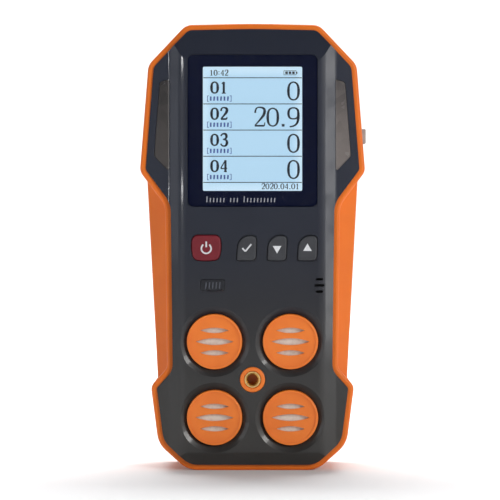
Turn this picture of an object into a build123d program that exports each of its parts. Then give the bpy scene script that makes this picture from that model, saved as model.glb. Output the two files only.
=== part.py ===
"""Portable four-gas detector with a belt clip.

Millimetres, +Z up. The detector stands on its base at z = 0, +X is to the user's right and the
display faces -Y. Widths are measured from the middle plane x = 0, depths from the plane y = 0
midway between the face and the rear panel.
"""

import os
from math import acos, atan2, degrees, hypot

from build123d import *

os.makedirs("parts", exist_ok=True)

# ---- Overall -------------------------------------------------------------------------------
height = 130.0
depth = 32.0  # from the face to the rear panel, without the clip
face_y = -depth / 2
back_y = depth / 2
joint_y = face_y + 14.0  # where the front cover meets the rear shell
wall = 1.8  # side and rear walls of the case
face_wall = 2.4  # front cover behind its raised face
fit_gap = 0.1  # between pieces that are assembled and stay put
part_gap = 0.2  # visible gap round a key, a lens or the window

# ---- Bumper --------------------------------------------------------------------------------
bumper_wall = 1.7
bumper_back_wall = 1.5
lip_y = face_y + 2.5  # front edge of the bumper
lip_round = 0.9
back_round = 3.0
pad_edge_y = face_y + 11.5  # where the side pads reach their full width
pad_slope = 0.9  # how fast they widen with depth
pad_edge_round = 1.5
pad_low_half = 27.8  # half widths of the pads at their two ends
pad_top_half = 31.15
pad_round = 1.6

# ---- Outline of the front cover, upwards along its right-hand side ---------------------------
base_half = 18.2
hip_low_half = 25.8
hip_low_rise = 6.8
hip_half = 27.8
hip_z = 23.9
waist_low_half = 23.15
waist_low_z = 29.0
waist_top_half = 23.75
waist_top_z = height - 52.4
shoulder_half = 31.05
shoulder_z = height - 42.6
temple_half = 28.7
temple_z = height - 12.8
crown_half = 18.6
crown_drop = 0.4  # how far the top edge falls away from its middle
crown_z = height - bumper_wall

# ---- Relief of the front cover ---------------------------------------------------------------
plateau_half = 20.3  # the raised face, then a bevel, then the ears that hold the alarm lenses
bevel_half = 24.2
bevel_drop = 1.6
bevel_round = 7.0
valley_round = 3.0
ear_drop = 2.3
ear_wall = 1.5
brow_z = height - 10.5  # the face slopes back above this line
brow_drop = 2.2
toe_z = 5.2  # and below this one
toe_drop = 1.4

# ---- Case screws, driven from the back -------------------------------------------------------
case_screw_places = [
    (temple_half - 7.2, temple_z + 2.3),
    (-(temple_half - 7.2), temple_z + 2.3),
    (base_half - 0.4, bumper_wall + 3.7),
    (-(base_half - 0.4), bumper_wall + 3.7),
]
case_screw_r = 1.0
case_screw_length = 20.0
case_screw_head_r = 1.9
case_screw_head = 1.4
case_boss_r = 2.0
well_boss_r = 3.2
well_boss = 3.5  # length of the thicker boss behind each screw's head
screw_well = 2.7  # depth of the head's well below the shell's outside
socket_hex_r = 1.15
socket_hex_deep = 1.1

# ---- Display -------------------------------------------------------------------------------
display_z = height - 30.8  # middle of the picture
picture_w = 28.6
picture_h = 35.8
window_w = 37.3
window_h = 43.8
window_z = display_z - 0.6
window_corner = 1.6
window_thick = 1.15
window_sunk = 0.05
mask_thick = 0.2
sight_margin = 1.2  # the cover's opening is this much wider than the picture, each side
lcd_glass = (31.6, 1.4, 40.4)
lcd_tray = (34.0, 2.6, 44.4)
lcd_gap = 0.2  # between the cover's inside and the glass
flex_w = 14.0
flex_thick = 0.2

# ---- Circuit boards --------------------------------------------------------------------------
board_thick = 1.6
board_y = face_y + 6.4  # front face of the main board
board_half = 20.8
wing_half = 27.0
board_screw_r = 0.9
board_screw_head_r = 1.7
board_screw_head = 1.1
board_screw_reach = 2.8  # how far a screw goes into its post
post_r = 1.8

# ---- Keys ----------------------------------------------------------------------------------
key_z = height - 65.4
power_x = -13.4
power_size = (8.7, 7.5)
power_corner = 1.7
power_bulge = 0.35
small_key_pitch = 8.8
small_key_first_x = -1.7
small_key_size = (5.8, 7.3)
small_key_lean = 0.25  # its foot is narrower by this much, its top by twice as much
small_key_rounds = (0.7, 1.2, 1.4, 3.6)  # lower left, lower right, upper right, upper left
key_proud = 0.5
key_edge = 0.45
key_travel = 0.6
flange_margin = 0.7
flange_thick = 0.8
stem_r = 1.1
switch_size = 4.5
switch_high = 1.6
mat_thick = 0.6

# ---- Sensors and their caps --------------------------------------------------------------------
sensor_r = 10.0
sensor_long = 16.6
sensor_pitch = 22.0
sensor_mid_z = 26.5
cap_r = 8.0
cap_proud = 0.3
cap_face = 1.3
cap_wall = 0.9
cap_rim = 0.75
cap_rim_step = 0.3
slot_lengths = (8.3, 11.0, 8.3)
slot_heights = (1.55, 2.0, 1.55)
slot_pitch = 3.25
dish_rim_r = 10.2
dish_depth = 1.1
snap_bead = 0.45
filter_thick = 0.3
gasket_thick = 0.7
pin_circle_r = 6.75
pin_r = 0.75
socket_r = 1.5
socket_high = 2.7

# ---- Threaded insert for the calibration cap ---------------------------------------------------
insert_bore_r = 1.65  # tapping size of an M4 thread
insert_r = 2.3
insert_long = 5.6
collar_r = 3.65
collar_proud = 0.3
collar_floor = 0.8
collar_boss_r = 4.9

# ---- Charging port and its dust plug -----------------------------------------------------------
port_z = height - 32.6
port_w = 8.9
port_high = 3.2
port_long = 7.3
port_shell = 0.35
port_tongue = 0.7
plug_flange = (13.0, 6.6)  # along Z and along Y
plug_stem = (9.4, 3.6)
plug_tab = (4.4, 3.0)
plug_tab_proud = 1.3
plug_travel = 6.0

# ---- Battery, sounder, vibration motor ---------------------------------------------------------
battery = (34.0, 10.0, 50.0)
battery_top_z = height - 24.0
pad_thick = 0.5
lead_r = 0.6
sounder_x = 19.4
sounder_z = height - 76.2
buzzer_size = 11.0
buzzer_high = 3.0
motor_r = 3.0
motor_long = 11.0
motor_x = -16.0  # its blind end
motor_z = height - 73.4
shaft_r = 0.42
weight_r = 2.8
weight_long = 3.6
shaft_deep = 2.5  # bearing hole in the motor's end
shaft_inside = 2.0
weight_gap = 0.6

# ---- Belt clip -------------------------------------------------------------------------------
sheet = 1.0
clip_w = 18.0
clip_low_z = height - 73.0
clip_high_z = height - 24.0
pivot_z = height - 38.0
pivot_rise = 6.0  # above the rear panel
clip_depth = 13.0  # from the rear panel to the outside of the tail
clip_pin_r = 1.25
pin_gap = 0.08
ear_side_gap = 0.6  # between the two pairs of ears
ear_r = 3.0
jaw_lip = 1.6
jaw_gap = 0.25
tooth_count = 6
tooth_size = 0.9
pin_head_r = 1.9
pin_head = 0.65
spring_wire_r = 0.45
spring_r = 2.35
spring_turns = 4
spring_pitch = 1.0
leg_long = 8.0
lever_rise = 3.6  # from the pin's axis out to the lever's middle surface


def spot(x, z, y):
    """The plane at depth y that faces the user, centred on (x, z)."""
    return Plane(origin=(x, y, z), x_dir=(1, 0, 0), z_dir=(0, -1, 0))


def keep(piece, node):
    """Labels a finished piece and writes it."""
    piece.label = node
    export_step(piece, f"parts/{node}.step")


# ---- Shared outlines, drawn as seen from the front ---------------------------------------------
cover_side = [
    (base_half, bumper_wall, 6.0),
    (hip_low_half, bumper_wall + hip_low_rise, 6.0),
    (hip_half, hip_z, 1.2),
    (waist_low_half, waist_low_z, 5.0),
    (waist_top_half, waist_top_z, 8.0),
    (shoulder_half, shoulder_z, 1.6),
    (temple_half, temple_z, 3.0),
    (crown_half, crown_z - crown_drop, 2.6),
]
left_side = [(-x, z, r) for x, z, r in reversed(cover_side)]
cover_corners = [*cover_side, (0, crown_z, 250.0), *left_side]

with BuildSketch() as cover_outline:
    with BuildLine():
        FilletPolyline(*[(x, z) for x, z, _ in cover_corners], radius=[r for *_, r in cover_corners], close=True)
    make_face()

with BuildSketch() as cavity_outline:
    offset(cover_outline.sketch, amount=-wall, kind=Kind.INTERSECTION)

with BuildSketch() as lip_outline:
    offset(cover_outline.sketch, amount=bumper_wall)

# The sides between hip and shoulder are filled by a straight taper behind the lip.
pad_low_z = hip_z
pad_top_z = shoulder_z - 0.9
with BuildSketch() as bumper_outline:
    add(lip_outline.sketch)
    with BuildLine():
        Polyline(
            (-pad_low_half, pad_low_z),
            (pad_low_half, pad_low_z),
            (pad_top_half, pad_top_z),
            (-pad_top_half, pad_top_z),
            close=True,
        )
    make_face()
    pad_ends = bumper_outline.vertices().filter_by(
        lambda v: pad_low_half < abs(v.X) < pad_top_half and pad_low_z < v.Y < pad_top_z
    )
    fillet(pad_ends, radius=pad_round)

# The opening in the bumper's back and the panel of the rear shell that fills it.
panel_half = 19.5
panel_low_z = 12.0
panel_high_z = height - 14.0
panel_corner = 5.0
panel_round = 1.5
with BuildSketch() as panel_outline:
    with Locations((0, (panel_low_z + panel_high_z) / 2)):
        Rectangle(2 * panel_half, panel_high_z - panel_low_z)
    chamfer(panel_outline.vertices(), length=panel_corner)
    fillet(panel_outline.vertices(), radius=panel_round)


def small_key_outline():
    """A key with three tight corners and one wide one, at the upper left."""
    half_w, half_h = small_key_size[0] / 2, small_key_size[1] / 2
    with BuildSketch() as face:
        with BuildLine():
            FilletPolyline(
                (-half_w, -half_h),
                (half_w - small_key_lean, -half_h),
                (half_w, half_h),
                (-half_w + 2 * small_key_lean, half_h),
                radius=list(small_key_rounds),
                close=True,
            )
        make_face()
    return face.sketch


# The power key's top edge is straight; its sides and foot swell a little.
power_side = [
    (power_size[0] / 2 - 2 * power_bulge, power_bulge - power_size[1] / 2, power_corner),
    (power_size[0] / 2, 0, 8.0),
    (power_size[0] / 2 - power_bulge, power_size[1] / 2, power_corner),
]
power_corners = [(0, -power_size[1] / 2, 15.0), *power_side, *[(-x, z, r) for x, z, r in reversed(power_side)]]
with BuildSketch() as power_outline:
    with BuildLine():
        FilletPolyline(*[(x, z) for x, z, _ in power_corners], radius=[r for *_, r in power_corners], close=True)
    make_face()

# Each key: its outline and where it sits in the row.
keys = {
    "power_key": (power_outline.sketch, power_x),
    "ok_key": (small_key_outline(), small_key_first_x),
    "down_key": (small_key_outline(), small_key_first_x + small_key_pitch),
    "up_key": (small_key_outline(), small_key_first_x + 2 * small_key_pitch),
}

# The alarm lens on the right-hand ear; the left one is its mirror image.
lens_corners = [
    (bevel_half, shoulder_z - 0.6, 0.4),
    (shoulder_half - 2.5, shoulder_z + 4.0, 1.2),
    (temple_half - 1.8, temple_z - 4.4, 1.0),
    (bevel_half, temple_z - 3.6, 0.3),
]
with BuildSketch() as lens_outline:
    with BuildLine():
        FilletPolyline(*[(x, z) for x, z, _ in lens_corners], radius=[r for *_, r in lens_corners], close=True)
    make_face()
    mirror(lens_outline.sketch, about=Plane.YZ)

sensor_low_z = sensor_mid_z - sensor_pitch / 2
sensor_high_z = sensor_mid_z + sensor_pitch / 2
sensor_places = {
    "lel": (-sensor_pitch / 2, sensor_high_z),
    "o2": (sensor_pitch / 2, sensor_high_z),
    "co": (-sensor_pitch / 2, sensor_low_z),
    "h2s": (sensor_pitch / 2, sensor_low_z),
}

# ---- Depths, from the face backwards -----------------------------------------------------------
face_inside_y = face_y + face_wall
ear_inside_y = face_y + ear_drop + ear_wall
shell_back_y = back_y - bumper_back_wall
shell_inside_y = shell_back_y - wall
window_y = face_y + window_sunk
mask_y = window_y + window_thick
ledge_y = mask_y + mask_thick
glass_y = face_inside_y + lcd_gap
board_back_y = board_y + board_thick
flange_y = face_inside_y + part_gap
stem_end_y = board_y - switch_high + 0.4
cap_y = face_y - cap_proud
cap_back_y = face_inside_y + 0.6
gasket_y = cap_back_y + 0.05
sensor_y = gasket_y + gasket_thick + 0.05
sensor_back_y = sensor_y + sensor_long
sensor_board_y = sensor_back_y + 3.0
sensor_board_back_y = sensor_board_y + board_thick
hole_gap = 0.15

# Board posts stand on the front cover; the sensor board stands on the rear shell.
board_low_z = sensor_high_z + sensor_r + 0.7
post_places = [
    (4.6, board_low_z + 2.2),
    (-4.6, board_low_z + 2.2),
    (board_half - 1.8, key_z + 8.9),
    (-(board_half - 1.8), key_z + 8.9),
    (board_half - 0.8, display_z + 13.8),
    (-(board_half - 0.8), display_z + 13.8),
]
sensor_post_places = [(0, bumper_wall + 3.8), (0, sensor_mid_z), (0, sensor_high_z + sensor_r - 0.5)]

port_half = shoulder_half - (shoulder_half - temple_half) * (port_z - shoulder_z) / (temple_z - shoulder_z)
port_y = board_back_y + port_high / 2
clip_screw_zs = (clip_low_z + 13.0, clip_low_z + 23.0)
clip_screw_r = 1.2
clip_screw_head_r = 2.5
clip_screw_head = 1.2
clip_screw_long = 2.6
nameplate_size = (30.0, 22.0)
nameplate_thick = 0.4
nameplate_z = 32.0
badge_size = (7.0, 3.3)
badge_place = (-11.5, sounder_z)
badge_sunk = 0.4
badge_proud = 0.2

# ---- Front cover -------------------------------------------------------------------------------
with BuildPart() as cover_block:
    with BuildSketch(spot(0, 0, face_y)):
        add(cover_outline.sketch)
    extrude(amount=-(joint_y - face_y))
    far_half = shoulder_half + 1
    with BuildSketch(Plane.XY):
        with BuildLine():
            FilletPolyline(
                (far_half, joint_y + 1),
                (far_half, face_y + ear_drop),
                (bevel_half, face_y + bevel_drop),
                (plateau_half, face_y),
                (-plateau_half, face_y),
                (-bevel_half, face_y + bevel_drop),
                (-far_half, face_y + ear_drop),
                (-far_half, joint_y + 1),
                radius=[0, 0, valley_round, bevel_round, bevel_round, valley_round, 0, 0],
                close=True,
            )
        make_face()
    extrude(amount=height, mode=Mode.INTERSECT)
    with BuildSketch(Plane.YZ):
        with BuildLine():
            FilletPolyline(
                (joint_y + 1, 0),
                (face_y + toe_drop, bumper_wall),
                (face_y, toe_z),
                (face_y, brow_z),
                (face_y + brow_drop, crown_z),
                (joint_y + 1, crown_z + 1),
                radius=[0, 0, 2.0, 8.0, 0, 0],
                close=True,
            )
        make_face()
    extrude(amount=far_half, both=True, mode=Mode.INTERSECT)

with BuildPart() as front_cover:
    add(cover_block.part)
    # Two depths of cavity: shallow under the ears, deep behind the raised face.
    with BuildSketch(spot(0, 0, joint_y)):
        add(cavity_outline.sketch)
    extrude(amount=joint_y - ear_inside_y, mode=Mode.SUBTRACT)
    with BuildSketch(spot(0, 0, joint_y)):
        add(cavity_outline.sketch)
        with Locations((0, height / 2 - 3.8)):
            Rectangle(2 * (waist_low_half - wall + 0.15), height, mode=Mode.INTERSECT)
    extrude(amount=joint_y - face_inside_y, mode=Mode.SUBTRACT)
    # Posts for the main board and bosses for the case screws.
    with BuildSketch(spot(0, 0, board_y)):
        with Locations(*post_places):
            Circle(post_r)
    extrude(amount=board_y - face_inside_y + 0.2)
    with BuildSketch(spot(0, 0, board_y)):
        with Locations(*post_places):
            Circle(board_screw_r + fit_gap)
    extrude(amount=board_y - face_inside_y - 0.6, mode=Mode.SUBTRACT)
    with BuildSketch(spot(0, 0, joint_y)):
        with Locations(*case_screw_places):
            Circle(case_boss_r)
    extrude(amount=joint_y - ear_inside_y + 0.2)
    with BuildSketch(spot(0, 0, joint_y)):
        with Locations(*case_screw_places):
            Circle(case_screw_r + fit_gap)
    extrude(amount=joint_y - ear_inside_y - 1.0, mode=Mode.SUBTRACT)
    with BuildSketch(spot(0, sensor_mid_z, face_inside_y + 4.6)):
        Circle(collar_boss_r)
    extrude(amount=4.7)
    # Window seat and the opening over the picture.
    with BuildSketch(spot(0, window_z, face_y)):
        RectangleRounded(window_w + 2 * part_gap, window_h + 2 * part_gap, window_corner + part_gap)
    extrude(amount=-(ledge_y - face_y), mode=Mode.SUBTRACT)
    with BuildSketch(spot(0, display_z, face_y)):
        RectangleRounded(picture_w + 2 * sight_margin, picture_h + 2 * sight_margin, 1.0)
    extrude(amount=-face_wall - 0.1, mode=Mode.SUBTRACT)
    # Key holes, lens openings, badge seat and sounder slots.
    for key_outline, key_x in keys.values():
        with BuildSketch(spot(key_x, key_z, face_y)):
            offset(key_outline, amount=part_gap)
        extrude(amount=-face_wall - 0.1, mode=Mode.SUBTRACT)
    with BuildSketch(spot(0, 0, face_y)):
        offset(lens_outline.sketch, amount=fit_gap)
    extrude(amount=-(ear_inside_y - face_y + 0.1), mode=Mode.SUBTRACT)
    with BuildSketch(spot(*badge_place, face_y)):
        RectangleRounded(badge_size[0] + 2 * fit_gap, badge_size[1] + 2 * fit_gap, 0.6)
    extrude(amount=-badge_sunk, mode=Mode.SUBTRACT)
    with BuildSketch(spot(sounder_x, sounder_z, face_y)):
        for rise, slot_long in ((1.8, 2.1), (0, 2.9), (-1.8, 2.1)):
            with Locations((0, rise)):
                SlotOverall(slot_long, 0.75)
    extrude(amount=-face_wall - 0.1, mode=Mode.SUBTRACT)
    # A dished seat and a through hole for each sensor cap.
    with Locations(spot(0, sensor_mid_z, face_y)):
        with GridLocations(sensor_pitch, sensor_pitch, 2, 2):
            Cone(
                bottom_radius=cap_r + hole_gap,
                top_radius=dish_rim_r,
                height=dish_depth,
                align=(Align.CENTER, Align.CENTER, Align.MAX),
                mode=Mode.SUBTRACT,
            )
            Cylinder(
                radius=cap_r + hole_gap,
                height=face_wall + 0.1,
                align=(Align.CENTER, Align.CENTER, Align.MAX),
                mode=Mode.SUBTRACT,
            )
    # Seat of the insert's collar and the charging port's opening.
    collar_back_y = face_y + insert_long + collar_floor
    with BuildSketch(spot(0, sensor_mid_z, face_y)):
        Circle(collar_r + fit_gap)
    extrude(amount=-(collar_back_y - face_y + fit_gap), mode=Mode.SUBTRACT)
    with BuildSketch(Plane(origin=(far_half, port_y, port_z), x_dir=(0, 0, 1), z_dir=(1, 0, 0))):
        SlotOverall(plug_stem[0] + 2 * fit_gap, plug_stem[1] + 2 * fit_gap)
    extrude(amount=-(far_half - port_half + 2 * wall), mode=Mode.SUBTRACT)
keep(front_cover.part, "front_cover")

# ---- Rear shell --------------------------------------------------------------------------------
with BuildPart() as rear_shell:
    with BuildSketch(spot(0, 0, joint_y)):
        add(cover_outline.sketch)
    extrude(amount=-(shell_back_y - joint_y))
    with BuildSketch(spot(0, 0, joint_y)):
        add(cavity_outline.sketch)
    extrude(amount=-(shell_inside_y - joint_y), mode=Mode.SUBTRACT)
    with BuildSketch(spot(0, 0, back_y)):
        offset(panel_outline.sketch, amount=-part_gap)
    extrude(amount=bumper_back_wall + 0.2)
    for boss_r, boss_long in ((case_boss_r, shell_inside_y - joint_y), (well_boss_r, well_boss)):
        with BuildSketch(spot(0, 0, shell_inside_y)):
            with Locations(*case_screw_places):
                Circle(boss_r)
            add(cover_outline.sketch, mode=Mode.INTERSECT)
        extrude(amount=boss_long)
    with BuildSketch(spot(0, 0, shell_inside_y)):
        with Locations(*sensor_post_places):
            Circle(post_r)
    extrude(amount=shell_inside_y - sensor_board_back_y)
    with BuildSketch(spot(0, 0, sensor_board_back_y)):
        with Locations(*sensor_post_places):
            Circle(board_screw_r + fit_gap)
    extrude(amount=-(shell_inside_y - sensor_board_back_y), mode=Mode.SUBTRACT)
    # Screw wells, clip screw holes and the nameplate's seat.
    with BuildSketch(spot(0, 0, shell_back_y)):
        with Locations(*case_screw_places):
            Circle(case_screw_head_r + part_gap)
    extrude(amount=screw_well, mode=Mode.SUBTRACT)
    with BuildSketch(spot(0, 0, shell_back_y)):
        with Locations(*case_screw_places):
            Circle(case_screw_r + part_gap)
    extrude(amount=shell_back_y - joint_y, mode=Mode.SUBTRACT)
    with BuildSketch(spot(0, 0, back_y)):
        with Locations(*[(0, z) for z in clip_screw_zs]):
            Circle(clip_screw_r + fit_gap)
    extrude(amount=clip_screw_long + 0.1, mode=Mode.SUBTRACT)
    with BuildSketch(spot(0, nameplate_z, back_y)):
        RectangleRounded(nameplate_size[0] + 2 * part_gap, nameplate_size[1] + 2 * part_gap, 1.2)
    extrude(amount=nameplate_thick, mode=Mode.SUBTRACT)
    # Groove for the sealing cord, in the middle of the rim.
    groove_margin = 0.45
    groove_deep = 0.9
    with BuildSketch(spot(0, 0, joint_y)):
        offset(cover_outline.sketch, amount=-groove_margin)
        offset(cover_outline.sketch, amount=-(wall - groove_margin), mode=Mode.SUBTRACT)
    extrude(amount=-groove_deep, mode=Mode.SUBTRACT)
keep(rear_shell.part, "rear_shell")

with BuildPart() as case_gasket:
    with BuildSketch(spot(0, 0, joint_y + 0.05)):
        offset(cover_outline.sketch, amount=-(groove_margin + 0.05))
        offset(cover_outline.sketch, amount=-(wall - groove_margin - 0.05), mode=Mode.SUBTRACT)
    extrude(amount=-(groove_deep - 0.1))
keep(case_gasket.part, "case_gasket")

with BuildPart() as case_screws:
    head_y = shell_back_y - screw_well
    with BuildSketch(spot(0, 0, head_y + case_screw_head)):
        with Locations(*case_screw_places):
            Circle(case_screw_head_r)
    extrude(amount=case_screw_head)
    chamfer(case_screws.faces().sort_by(Axis.Y)[-4:].edges(), length=0.3)
    with BuildSketch(spot(0, 0, head_y)):
        with Locations(*case_screw_places):
            Circle(case_screw_r)
    extrude(amount=case_screw_length)
    with BuildSketch(spot(0, 0, head_y + case_screw_head)):
        with Locations(*case_screw_places):
            RegularPolygon(radius=socket_hex_r, side_count=6)
    extrude(amount=socket_hex_deep, mode=Mode.SUBTRACT)
keep(case_screws.part, "case_screws")

with BuildPart() as nameplate:
    with BuildSketch(spot(0, nameplate_z, back_y)):
        RectangleRounded(*nameplate_size, 1.0)
    extrude(amount=nameplate_thick)
keep(nameplate.part, "nameplate")

with BuildPart() as badge:
    with BuildSketch(spot(*badge_place, face_y + badge_sunk)):
        RectangleRounded(*badge_size, 0.5)
    extrude(amount=badge_sunk + badge_proud)
    chamfer(badge.faces().sort_by(Axis.Y)[0].edges(), length=0.12)
keep(badge.part, "badge")

# ---- Bumper: a lip round the cover, thick pads at the waist, a frame over the back ---------------
pad_run = pad_top_half - pad_low_half
pad_climb = pad_top_z - pad_low_z
with BuildPart() as pads:
    with BuildSketch(spot(0, 0, lip_y + 1.0)):
        add(bumper_outline.sketch)
    extrude(amount=-(back_y - lip_y - 1.0))
    # Each pad's front slopes from the lip out to its full width.
    for side in (1, -1):
        slope = Plane(
            origin=(side * pad_low_half, pad_edge_y, pad_low_z),
            z_dir=(-side * pad_climb, pad_climb * pad_slope, pad_run),
        )
        split(bisect_by=slope, keep=Keep.TOP)
    ridges = pads.edges().filter_by(lambda e: abs(e.center().Y - pad_edge_y) < 0.01)
    fillet(ridges, radius=pad_edge_round)

with BuildPart() as bumper:
    with BuildSketch(spot(0, 0, lip_y)):
        add(lip_outline.sketch)
    extrude(amount=-(back_y - lip_y))
    add(pads.part)
    fillet(bumper.faces().filter_by(Axis.Y).sort_by(Axis.Y)[-1].outer_wire().edges(), radius=back_round)
    fillet(bumper.faces().filter_by(Axis.Y).sort_by(Axis.Y)[0].outer_wire().edges(), radius=lip_round)
    # Room for the case, the rear panel, the screw heads and the dust plug.
    with BuildSketch(spot(0, 0, face_y)):
        offset(cover_outline.sketch, amount=0.05)
    extrude(amount=-(shell_back_y - face_y), mode=Mode.SUBTRACT)
    with BuildSketch(spot(0, 0, back_y)):
        add(panel_outline.sketch)
        with Locations(*case_screw_places):
            Circle(case_screw_head_r + 2 * part_gap)
    extrude(amount=bumper_back_wall + 0.1, mode=Mode.SUBTRACT)
    with BuildSketch(Plane(origin=(far_half + 5, port_y, port_z), x_dir=(0, 0, 1), z_dir=(1, 0, 0))):
        SlotOverall(plug_flange[0] + 2 * part_gap, plug_flange[1] + 2 * part_gap)
    extrude(amount=-(far_half + 5 - port_half + wall), mode=Mode.SUBTRACT)
keep(bumper.part, "bumper")

# ---- Display -----------------------------------------------------------------------------------
with BuildPart() as display_window:
    with BuildSketch(spot(0, window_z, window_y)):
        RectangleRounded(window_w, window_h, window_corner)
    extrude(amount=-window_thick)
    chamfer(display_window.faces().sort_by(Axis.Y)[0].edges(), length=0.2)
keep(display_window.part, "display_window")

with BuildPart() as window_mask:
    with BuildSketch(spot(0, window_z, mask_y)):
        RectangleRounded(window_w, window_h, window_corner)
        with Locations((0, display_z - window_z)):
            RectangleRounded(picture_w + 0.2, picture_h + 0.2, 0.4, mode=Mode.SUBTRACT)
    extrude(amount=-mask_thick)
keep(window_mask.part, "window_mask")

lcd_z = display_z - 0.9  # the tray reaches further below the picture than above it
tray_y = glass_y + 0.4
with BuildPart() as lcd_panel:
    with BuildSketch(spot(0, display_z, glass_y)):
        Rectangle(lcd_glass[0], lcd_glass[2])
    extrude(amount=-lcd_glass[1])
keep(lcd_panel.part, "lcd_panel")

with BuildPart() as lcd_frame:
    with BuildSketch(spot(0, lcd_z, tray_y)):
        RectangleRounded(lcd_tray[0], lcd_tray[2], 0.8)
    extrude(amount=-lcd_tray[1])
    with BuildSketch(spot(0, display_z, tray_y)):
        Rectangle(lcd_glass[0] + 2 * fit_gap, lcd_glass[2] + 2 * fit_gap)
    extrude(amount=-(lcd_glass[1] - 0.4 + 0.05), mode=Mode.SUBTRACT)
keep(lcd_frame.part, "lcd_frame")

# The display's flat cable folds back under the tray into its connector.
flex_y = tray_y + 1.0
flex_turn_z = key_z + power_size[1] / 2 + flange_margin + 1.2
connector_high = 1.0
connector_z = flex_turn_z + 0.8
with BuildPart() as lcd_flex:
    with BuildSketch(Plane.YZ.offset(-flex_w / 2)):
        with BuildLine():
            FilletPolyline(
                (flex_y, lcd_z - lcd_tray[2] / 2 - 0.05),
                (flex_y, flex_turn_z),
                (board_y - connector_high / 2, flex_turn_z),
                (board_y - connector_high / 2, connector_z - 0.05),
                radius=0.5,
            )
        trace(line_width=flex_thick)
    extrude(amount=flex_w)
keep(lcd_flex.part, "lcd_flex")

# ---- Keys --------------------------------------------------------------------------------------
for node, (key_outline, key_x) in keys.items():
    with BuildPart() as key:
        with BuildSketch(spot(key_x, key_z, face_y - key_proud)):
            add(key_outline)
        extrude(amount=-(flange_y - face_y + key_proud + 0.1))
        fillet(key.faces().sort_by(Axis.Y)[0].edges(), radius=key_edge)
        with BuildSketch(spot(key_x, key_z, flange_y)):
            offset(key_outline, amount=flange_margin)
        extrude(amount=-flange_thick)
        with BuildSketch(spot(key_x, key_z, stem_end_y)):
            Circle(stem_r)
        extrude(amount=stem_end_y - flange_y)
    keep(key.part, node)

switch_y = board_y - switch_high
with BuildPart() as key_switches:
    with BuildSketch(spot(0, key_z, board_y)):
        with Locations(*[(key_x, 0) for _, key_x in keys.values()]):
            RectangleRounded(switch_size, switch_size, 0.3)
    extrude(amount=switch_high)
    with BuildSketch(spot(0, key_z, switch_y)):
        with Locations(*[(key_x, 0) for _, key_x in keys.values()]):
            Circle(stem_r + part_gap)
    extrude(amount=-(stem_end_y - switch_y + key_travel + 0.1), mode=Mode.SUBTRACT)
keep(key_switches.part, "key_switches")

with BuildPart() as keypad_mat:
    mat_left = power_x - power_size[0] / 2 - flange_margin
    mat_right = small_key_first_x + 2 * small_key_pitch + small_key_size[0] / 2 + flange_margin
    with BuildSketch(spot(0, key_z, switch_y - 0.1)):
        with Locations(((mat_left + mat_right) / 2, 0)):
            RectangleRounded(mat_right - mat_left, power_size[1] + 2 * flange_margin, 1.5)
        with Locations(*[(key_x, 0) for _, key_x in keys.values()]):
            Circle(stem_r + 2 * part_gap, mode=Mode.SUBTRACT)
    extrude(amount=mat_thick)
keep(keypad_mat.part, "keypad_mat")

# ---- Alarm lights --------------------------------------------------------------------------------
lens_back = 0.8
lens_flange = 0.8
lens_sunk = 0.15  # below the cover's surface
for node, side in (("alarm_lens_right", 1), ("alarm_lens_left", -1)):
    with BuildPart() as lens:
        with BuildSketch(spot(0, 0, face_y)):
            add(lens_outline.sketch)
            with Locations((side * far_half / 2, height / 2)):
                Rectangle(far_half, height, mode=Mode.INTERSECT)
        extrude(amount=-(ear_inside_y - face_y + 0.1))
        add(Pos(0, lens_sunk, 0) * cover_block.part, mode=Mode.INTERSECT)
        with BuildSketch(spot(0, 0, ear_inside_y + 0.05)):
            offset(lens_outline.sketch, amount=lens_flange)
            offset(cavity_outline.sketch, amount=-0.1, mode=Mode.INTERSECT)
            with Locations((side * far_half / 2, height / 2)):
                Rectangle(far_half, height, mode=Mode.INTERSECT)
        extrude(amount=-lens_back)
    keep(lens.part, node)

led_x = (bevel_half + shoulder_half - 2.5) / 2 - 0.4
led_size = (2.8, 3.2)
led_high = 1.4
led_pitch = 7.0
with BuildPart() as alarm_leds:
    with BuildSketch(spot(0, (shoulder_z + temple_z) / 2 - 3.5, board_y)):
        with GridLocations(2 * led_x, led_pitch, 2, 3):
            RectangleRounded(*led_size, 0.3)
    extrude(amount=led_high)
keep(alarm_leds.part, "alarm_leds")

# ---- Main board and what it carries ----------------------------------------------------------------
wing_low_z = shoulder_z + 3.0
wing_high_z = temple_z - 8.2
board_top_half = 17.0
board_side = [
    (board_half, board_low_z),
    (board_half, wing_low_z - (wing_half - board_half)),
    (wing_half, wing_low_z),
    (wing_half, wing_high_z),
    (board_top_half, wing_high_z + wing_half - board_top_half),
]
with BuildPart() as main_board:
    with BuildSketch(spot(0, 0, board_y)):
        with BuildLine():
            Polyline(*board_side, *[(-x, z) for x, z in reversed(board_side)], close=True)
        make_face()
        with Locations(*post_places):
            Circle(board_screw_r + 2 * fit_gap, mode=Mode.SUBTRACT)
    extrude(amount=-board_thick)
keep(main_board.part, "main_board")

with BuildPart() as board_screws:
    with BuildSketch(spot(0, 0, board_back_y + board_screw_head)):
        with Locations(*post_places):
            Circle(board_screw_head_r)
    extrude(amount=board_screw_head)
    with BuildSketch(spot(0, 0, board_back_y)):
        with Locations(*post_places):
            Circle(board_screw_r)
    extrude(amount=board_thick + board_screw_reach)
keep(board_screws.part, "board_screws")

# Chips on the back of the main board: place, width, height and thickness of each.
chips = [
    (8.0, display_z - 8.0, 10.0, 10.0, 1.4),
    (-8.0, display_z - 6.0, 6.0, 5.0, 1.2),
    (-8.0, display_z + 4.0, 5.0, 4.0, 1.0),
    (14.5, display_z + 4.0, 5.0, 5.0, 2.4),
    (-14.0, display_z - 16.0, 3.0, 8.0, 1.6),
]
with BuildPart() as board_chips:
    for chip_x, chip_z, chip_w, chip_h, chip_thick in chips:
        with BuildSketch(spot(chip_x, chip_z, board_back_y)):
            Rectangle(chip_w, chip_h)
        extrude(amount=-chip_thick)
keep(board_chips.part, "board_chips")

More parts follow.
